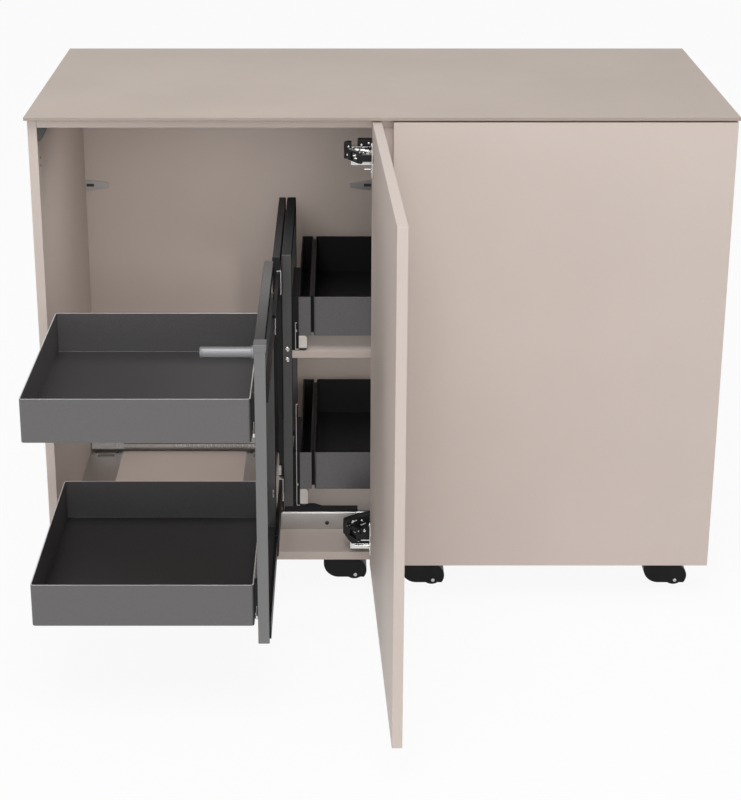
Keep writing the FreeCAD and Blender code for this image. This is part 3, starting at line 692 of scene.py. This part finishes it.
# Front frame: a collar on the front post, and screws on the right side given by depth and height
COLLAR_WRAP = 0.8
COLLAR_DEPTH = 26
COLLAR_HEIGHT = 11
FRAME_TUBE = 16
FRAME_SCREWS = ((12, 641), (12, 612), (12, 380), (12, 190), (262, 292), (262, 300))
post_x, post_y, post_z = span("front_frame")
collar_x = (post_x[0] - COLLAR_WRAP, post_x[1] - LIP_TRIM / MM + COLLAR_WRAP)
collar_y = (post_y[0] - COLLAR_WRAP, post_y[0] + COLLAR_DEPTH)
collar = Form()
collar.block(collar_x, collar_y, (post_z[1] - COLLAR_HEIGHT, post_z[1] + COLLAR_WRAP))
collar.piece("front_post_collar", "front_unit", "frame", 0.6)
side_fixings = Form()
for depth, z in FRAME_SCREWS:
    side_fixings.screw((post_x[0] + FRAME_TUBE, post_y[0] + depth, z), RIGHT, 3.4)
side_fixings.piece("front_frame_screws", "front_unit", "steel")

# Pull handle: a hollow end cap and a collar at the post
CAP_PROFILE = [(8.5, 0), (8.5, 2.4), (7.9, 3.4), (6.6, 4.0), (3.4, 4.0), (3.2, 2.6), (0.3, 2.6)]
FLARE_PROFILE = [(8.6, 0), (10.4, 0), (10.4, 3.2), (9.8, 4.0), (8.6, 4.0)]
handle_x, handle_y, handle_z = span("pull_handle")
middle_y = (handle_y[0] + handle_y[1]) / 2
middle_z = (handle_z[0] + handle_z[1]) / 2
cap = Form().turned(CAP_PROFILE, (handle_x[0], middle_y, middle_z), LEFT, 40)
cap.piece("handle_end_cap", "front_unit", "handle", replaces=("handle_cap",))
ring = Form().turned(FLARE_PROFILE, (handle_x[1], middle_y, middle_z), LEFT, 40)
ring.piece("handle_collar", "front_unit", "handle")

# Bolts between the front trays and their brackets
BOLT_OFFSET = 3
BOLT_FRONT = 22
BOLT_BACK = 6
BOLT_RISES = (6, 34)
BOLT_RADIUS = 1.8
HEAD_RISE = 7
BOLT_HEAD = [(2.9, 0), (2.9, 5), (2.2, 6.5), (0.4, 6.6)]
bolts = Form()
for node in ("front_tray_upper", "front_tray_lower"):
    tray_x, tray_y, tray_z = span(node)
    bolt_x = tray_x[1] + BOLT_OFFSET
    bolt_low, bolt_high = tray_z[0] + BOLT_RISES[0], tray_z[0] + BOLT_RISES[1]
    for y in (tray_y[0] + BOLT_FRONT, tray_y[1] - BOLT_BACK):
        bolts.bar((bolt_x, y, bolt_low), (bolt_x, y, bolt_high), BOLT_RADIUS, 16)
        bolts.turned(BOLT_HEAD, (bolt_x, y, tray_z[0] + HEAD_RISE), DOWN, 6)
bolts.piece("tray_bracket_bolts", "front_unit", "chrome", 0.0)

# Slides: a bent latch wire on the upper middle slide, and end stops on the carrier
WIRE_RADIUS = 0.7
ZIGZAG = [(-0.9, 597), (-0.9, 590), (-1.5, 588), (-0.6, 582), (-1.5, 576), (-0.9, 568)]
STOP_THICK = 1.4
LOW_STOP_Z = (132, 154)
HIGH_STOP_Z = (203, 222)
STOP_SCREW_Z = 212
slide_x, slide_y = span("middle_slides")[:2]
wire_y = slide_y[0] - WIRE_RADIUS
latches = Form()
for (x0, z0), (x1, z1) in zip(ZIGZAG, ZIGZAG[1:]):
    latches.bar((slide_x[1] + x0, wire_y, z0), (slide_x[1] + x1, wire_y, z1), WIRE_RADIUS, 12)
latches.piece("slide_latch_wire", body_of_node["middle_slides"], "steel", material=BRIGHT_ZINC_HIGHLIGHT)
stop_x = span("outer_slides")[0][0]
carrier_y = span("front_rail")[1][0]
stop_y = (carrier_y - STOP_THICK, carrier_y)
stops = Form()
stops.block((stop_x - 1, stop_x + 5), stop_y, LOW_STOP_Z)
stops.block((stop_x - 1, stop_x + 4), stop_y, HIGH_STOP_Z)
stops.screw((stop_x + 2, stop_y[0], STOP_SCREW_Z), FORWARD, 2.0)
stops.piece("slide_end_stop", "cabinet", "steel", 0.3)

# Rear unit: screw heads on the shelf's end
SCREW_EDGE = 4
screw_x, screw_y, screw_z = span("shelf_screws")
heads = Form()
for z in (screw_z[0] + SCREW_EDGE, screw_z[1] - SCREW_EDGE):
    heads.screw(((screw_x[0] + screw_x[1]) / 2, screw_y[1], z), FORWARD, 4.6)
heads.piece("shelf_screw_heads", "rear_unit", "chrome", replaces=("shelf_screws",))

# Rear trays: glides on feet, dark blocks of painted shade in the hangers, and wire hooks
HOOK_TOPS = {"upper": 502.0, "lower": 344.0}
HOOK_LEFT = 6.5
HOOK_RIGHT = 5.2
HOOK_LIP = 3
HOOK_WIRE = 1.4
HOOK_RISE = 2
HOOK_DEPTHS = (0.2, 2.3)
HOOK_ARM_RISES = (8, 12)
ARM_LENGTH = 170.0
GLIDE_SIZE = 15
FOOT_OFFSET = 8
FOOT_HEIGHT = 5.5
FOOT_PROFILE = [(5.0, 0), (6.0, 1), (6.0, FOOT_HEIGHT + 0.2)]
HANGER_INSET = 12.0
HANGER_WIDTH = 22.0
SHADE_INSET = 15.0
SHADE_SKIN = 0.1
SPACER_EDGE = 1.5
FLOOR_EDGE = (2.2, 2.4)
FLOOR_RISES = (2.2, 3.4)
for place in ("upper", "lower"):
    glide_x, glide_y, glide_z = span("rear_glides_" + place)
    low = glide_z[0] + FOOT_HEIGHT
    blocks = Form()
    feet = Form()
    for x in (glide_x[0], glide_x[1] - GLIDE_SIZE):
        right = x + GLIDE_SIZE
        shape = rounded([(x, low, 1.5), (right, low, 1.5), (right, glide_z[1], 5.0), (x, glide_z[1], 2.0)])
        for y in (glide_y[0], glide_y[1] - GLIDE_SIZE):
            blocks.prism(shape, (y, y + GLIDE_SIZE), "y")
            feet.turned(FOOT_PROFILE, (x + FOOT_OFFSET, y + GLIDE_SIZE / 2, glide_z[0]), UP, 24)
    glides = "rear_glides_" + place
    blocks.piece("rear_glide_blocks_" + place, "rear_unit", "glide", 0.8, 3, replaces=(glides,))
    feet.piece("rear_glide_feet_" + place, "rear_unit", "catch", 0.0)
    hanger_x, hanger_y, hanger_z = span("rear_hanger_" + place)
    wall_left = hanger_x[0] + HANGER_INSET
    wall_right = wall_left + HANGER_WIDTH
    # Dark blocks along each hanger's arm, spacer and floor: painted shade
    shade_blocks = Form()
    arm_y = (hanger_y[0] - 0.6, hanger_y[0] + ARM_LENGTH + 0.4)
    arm_x = (hanger_x[0] - SHADE_SKIN, wall_left + SHADE_SKIN)
    shade_blocks.block(arm_x, arm_y, (glide_z[0] + 0.4, hanger_z[1] + 0.3))
    spacer_y = (hanger_y[0] + SHADE_INSET - 0.5, hanger_y[1] - SHADE_INSET + 0.5)
    spacer_x = (wall_right - SHADE_SKIN, hanger_x[1] + SHADE_SKIN)
    shade_blocks.block(spacer_x, spacer_y, (hanger_z[0] + SPACER_EDGE, hanger_z[1] - SPACER_EDGE))
    floor_x = (wall_left + FLOOR_EDGE[0], wall_right - FLOOR_EDGE[0])
    floor_y = (hanger_y[0] + FLOOR_EDGE[1], hanger_y[1] - FLOOR_EDGE[1])
    shade_blocks.block(floor_x, floor_y, (hanger_z[0] + FLOOR_RISES[0], hanger_z[0] + FLOOR_RISES[1]))
    shade_blocks.piece("rear_hanger_painted_shade_" + place, "rear_unit", "tray", 0.3, material=DEEP_SHADE)
    hook = Form()
    hook_y = (glide_y[0] + HOOK_DEPTHS[0], glide_y[0] + HOOK_DEPTHS[1])
    hook_left = glide_x[0] - HOOK_LEFT
    hook_low = glide_z[0] + HOOK_RISE
    hook_top = HOOK_TOPS[place]
    lip_x = (hook_left, glide_x[0] - HOOK_LIP)
    hook.block((hook_left, glide_x[0] - HOOK_RIGHT), hook_y, (hook_low, hook_top))
    hook.block((hook_left, glide_x[0]), hook_y, (hook_low, hook_low + HOOK_WIRE))
    hook.block(lip_x, hook_y, (hook_top - HOOK_WIRE, hook_top))
    hook_arm_z = (hanger_z[0] + HOOK_ARM_RISES[0], hanger_z[0] + HOOK_ARM_RISES[1])
    hook.block(lip_x, (hook_y[0], hanger_y[0]), hook_arm_z)
    hook.piece("rear_hanger_hook_" + place, "rear_unit", "steel", 0.3)

# Rear runners: stepped feet at both ends of each rail
RUNNER_LENGTH = 136.0
RUNNER_WIDTH = 16
FOOT_LENGTH = 56.0
FOOT_SLOPE = 14
SOLE = 5.2
runner_x, runner_y, runner_z = span("rear_runners")
sole = runner_z[0] + SOLE
foot_side = [(0, runner_z[0]), (RUNNER_LENGTH, runner_z[0]), (RUNNER_LENGTH, sole),
             (FOOT_LENGTH + FOOT_SLOPE, sole), (FOOT_LENGTH, runner_z[1]), (0, runner_z[1])]
runners = Form()
for y in (runner_y[0], runner_y[1] - RUNNER_WIDTH):
    runners.prism([(runner_x[0] + x, z) for x, z in foot_side], (y, y + RUNNER_WIDTH), "y")
    runners.prism([(runner_x[1] - x, z) for x, z in foot_side], (y, y + RUNNER_WIDTH), "y")
runners.piece("rear_runner_feet", "rear_unit", "frame", 0.6, material=CARRIER, replaces=("rear_runners",))

# Fittings: back ties with dark patches of painted shade for their slots, corner catch, plugs in the left
# side
TIE_SLOT = (3, 18)
TIE_SLOT_HALF = 3
TIE_SLOT_DEPTH = 0.4
CATCH_FOOT = 4
CATCH_WIDTH = 15
CATCH_EDGE = 5
CATCH_DEPTHS = (1, 13)
PLUG_LEVELS = (813, 826.5)
PLUG_DEPTH = 22
PLUG_PROFILE = [(2.6, 0), (2.6, 0.3), (2.0, 0.5), (1.8, 0.1), (0.2, 0.1)]
tie_x, tie_y, tie_z = span("back_ties")
tie_middle = (tie_z[0] + tie_z[1]) / 2
tie_slot_shades = Form()
for slot_x in ((tie_x[0] + TIE_SLOT[0], tie_x[0] + TIE_SLOT[1]),
               (tie_x[1] - TIE_SLOT[1], tie_x[1] - TIE_SLOT[0])):
    slot_y = (tie_y[0] - TIE_SLOT_DEPTH, tie_y[0] + TIE_SLOT_DEPTH)
    tie_slot_shades.block(slot_x, slot_y, (tie_middle - TIE_SLOT_HALF, tie_middle + TIE_SLOT_HALF))
tie_slot_shades.piece("back_tie_slot_shades", "cabinet", "steel", 0.2, material=CATCH)
catch_x, catch_y, catch_z = span("door_catch")
catch = Form()
catch_right = catch_x[0] + CATCH_WIDTH
wedge = [(catch_x[0], catch_z[1]), (catch_x[0], catch_z[0]), (catch_x[0] + CATCH_FOOT, catch_z[0]),
         (catch_right, catch_z[1] - CATCH_EDGE), (catch_right, catch_z[1])]
catch.prism(wedge, (catch_y[0] + CATCH_DEPTHS[0], catch_y[0] + CATCH_DEPTHS[1]), "y")
catch.piece("corner_catch", "cabinet", "catch", 1.0, 3, replaces=("door_catch",))
side_x = span("left_side")[0][1]
plugs = Form()
for z in PLUG_LEVELS:
    plugs.turned(PLUG_PROFILE, (side_x, FRONT_Y + PLUG_DEPTH, z), RIGHT, 16)
plugs.piece("shelf_pin_plugs", "cabinet", "panel", material=CATCH)

# Casters: moulded hoods, treaded wheels, rivets and a raised ring over each wheel
CASTERS = 8
WHEEL_RADIUS = 20.0
WHEEL_SIDE = 5.75
AXLE_RADIUS = 3.0
TREAD = [(17.5, 0), (19.6, 0.8), (20, 2.6), (20, 10.4), (19.5, 12.2), (17.8, 13), (14.4, 13),
         (13.6, 12.2), (7.0, 12.2), (6.4, 13.0), (4.4, 13.0), (4.0, 12.4), (0.3, 12.4)]
CASTER_RIVET = [(3.4, 0), (3.2, 0.5), (2.0, 0.9), (0.3, 1.0)]
RIVET_OFFSET = 2
RIVET_LEVEL = 10.5
RIDGE_RADII = (20.6, 19.4)
RIDGE_ANGLES = (-30, 150)
RIDGE_HEIGHT = 0.5
for number in range(1, CASTERS + 1):
    hood = "caster_hood_%d" % number
    treads = "caster_wheels_%d" % number
    swivel = "caster_%d" % number
    refine(hood, "caster_plastic", 1.4, 3)
    hood_y = span(hood)[1]
    mid_y = (hood_y[0] + hood_y[1]) / 2
    wheel_x = span(treads)[0][0] + WHEEL_RADIUS
    wheels = Form()
    for side in (-1, 1):
        wheels.turned(TREAD, (wheel_x, mid_y + side * WHEEL_SIDE, WHEEL_RADIUS), (0, side, 0), 48)
    wheels.bar((wheel_x, mid_y - WHEEL_SIDE, WHEEL_RADIUS), (wheel_x, mid_y + WHEEL_SIDE, WHEEL_RADIUS),
               AXLE_RADIUS)
    wheels.piece("caster_treads_%d" % number, "wheels_%d" % number, "wheel", 0.0, replaces=(treads,))
    hub = (wheel_x, WHEEL_RADIUS)
    ridge = (arc(hub, RIDGE_RADII[0], RIDGE_ANGLES[0], RIDGE_ANGLES[1], 24)
             + arc(hub, RIDGE_RADII[1], RIDGE_ANGLES[1], RIDGE_ANGLES[0], 24))
    rivets = Form()
    ridges = Form()
    for side, face in ((-1, hood_y[0]), (1, hood_y[1])):
        rivets.turned(CASTER_RIVET, (wheel_x + RIVET_OFFSET, face, RIVET_LEVEL), (0, side, 0), 24)
        ridges.prism(ridge, (face, face + side * RIDGE_HEIGHT), "y")
    rivets.piece("caster_rivets_%d" % number, swivel, "caster_steel", 0.0)
    ridges.piece("caster_ridges_%d" % number, swivel, "caster_plastic", 0.0)


# Floor, light and camera

FLOOR_SIZE = 30.0
FLOOR_DROP = 0.0005
FLOOR_TONE = (0.86, 0.86, 0.86, 1)
FLOOR_WHITE_SHARE = 0.92
AMBIENT = 0.5


def seen_rays(nodes, links):
    """One for rays from the camera, also through glass or by a reflection, else zero."""
    path = nodes.new("ShaderNodeLightPath")
    seen = nodes.new("ShaderNodeMath")
    seen.operation = "MAXIMUM"
    links.new(path.outputs["Is Camera Ray"], seen.inputs[0])
    links.new(path.outputs["Is Transmission Ray"], seen.inputs[1])
    mirrored = nodes.new("ShaderNodeMath")
    mirrored.operation = "MAXIMUM"
    links.new(seen.outputs[0], mirrored.inputs[0])
    links.new(path.outputs["Is Glossy Ray"], mirrored.inputs[1])
    return mirrored.outputs[0]


def pale_floor():
    """A pale floor that the camera sees as white, with the shadow kept."""
    shape = bmesh.new()
    bmesh.ops.create_grid(shape, x_segments=1, y_segments=1, size=FLOOR_SIZE)
    obj = link_mesh("floor", shape)
    obj.location.z = -FLOOR_DROP
    material = bpy.data.materials.new("pale_floor")
    material.use_nodes = True
    nodes, links = material.node_tree.nodes, material.node_tree.links
    surface = nodes["Principled BSDF"]
    surface.inputs["Base Color"].default_value = FLOOR_TONE
    surface.inputs["Roughness"].default_value = 0.9
    surface.inputs["Specular IOR Level"].default_value = 0.0
    glow = nodes.new("ShaderNodeEmission")
    glow.inputs["Strength"].default_value = 1.0
    share = nodes.new("ShaderNodeMath")
    share.operation = "MULTIPLY"
    share.inputs[1].default_value = FLOOR_WHITE_SHARE
    blend = nodes.new("ShaderNodeMixShader")
    links.new(seen_rays(nodes, links), share.inputs[0])
    links.new(share.outputs[0], blend.inputs["Fac"])
    links.new(surface.outputs["BSDF"], blend.inputs[1])
    links.new(glow.outputs["Emission"], blend.inputs[2])
    links.new(blend.outputs["Shader"], nodes["Material Output"].inputs["Surface"])
    obj.data.materials.append(material)


def white_world(ambient):
    """White behind the object, and an even pale light from all round."""
    world = bpy.data.worlds.new("studio")
    bpy.context.scene.world = world
    world.use_nodes = True
    nodes, links = world.node_tree.nodes, world.node_tree.links
    level = nodes.new("ShaderNodeMapRange")
    level.inputs["To Min"].default_value = ambient
    level.inputs["To Max"].default_value = 1.0
    links.new(seen_rays(nodes, links), level.inputs["Value"])
    links.new(level.outputs["Result"], nodes["Background"].inputs["Strength"])
    nodes["Background"].inputs["Color"].default_value = (1, 1, 1, 1)


def soft_lamp(name, place, aim, width, power):
    """A square softbox that faces a point, its width in metres and its power in watts."""
    data = bpy.data.lights.new(name, "AREA")
    data.size = width
    data.energy = power
    obj = bpy.data.objects.new(name, data)
    obj.location = place
    obj.rotation_euler = (Vector(aim) - Vector(place)).to_track_quat("-Z", "Y").to_euler()
    bpy.context.scene.collection.objects.link(obj)


CAMERA_PLACE = (-0.069, -3.065, 1.643)
CAMERA_TILT = 19.6
CAMERA_LENS = 84.8
CAMERA_SHIFT = (0.037, -0.1)


def photo_camera():
    """The camera of the photo's place, tilted down."""
    data = bpy.data.cameras.new("camera")
    data.lens = CAMERA_LENS
    data.shift_x, data.shift_y = CAMERA_SHIFT
    obj = bpy.data.objects.new("camera", data)
    obj.location = CAMERA_PLACE
    obj.rotation_euler = (math.radians(90 - CAMERA_TILT), 0, 0)
    bpy.context.scene.collection.objects.link(obj)
    bpy.context.scene.camera = obj


pale_floor()
white_world(AMBIENT)
soft_lamp("camera_side", (-0.1, -6.4, 2.6), (-0.1, 0.2, 0.45), 2.0, 54)
soft_lamp("right", (3.2, -6.6, 1.2), (-0.3, 0.1, 0.45), 2.4, 45)
soft_lamp("left", (-5.5, -3.5, 1.6), (0, 0, 0.45), 2.4, 48)
soft_lamp("overhead", (-0.2, -1.9, 3.8), (-0.1, 0.1, 0.4), 2.0, 68)
soft_lamp("inside_top", (-0.25, 0.16, 0.835), (-0.33, 0.36, 0.1), 0.22, 0.85)
soft_lamp("inside_middle", (0.02, 0.2, 0.37), (0.0, 0.58, 0.35), 0.08, 0.36)
soft_lamp("over_shelf", (-0.07, 0.2, 0.47), (-0.07, 0.2, 0.3), 0.14, 0.018)
soft_lamp("over_floor", (-0.05, 0.31, 0.168), (-0.05, 0.31, 0.0), 0.2, 0.06)
photo_camera()
bpy.context.scene.view_settings.view_transform = "Standard"
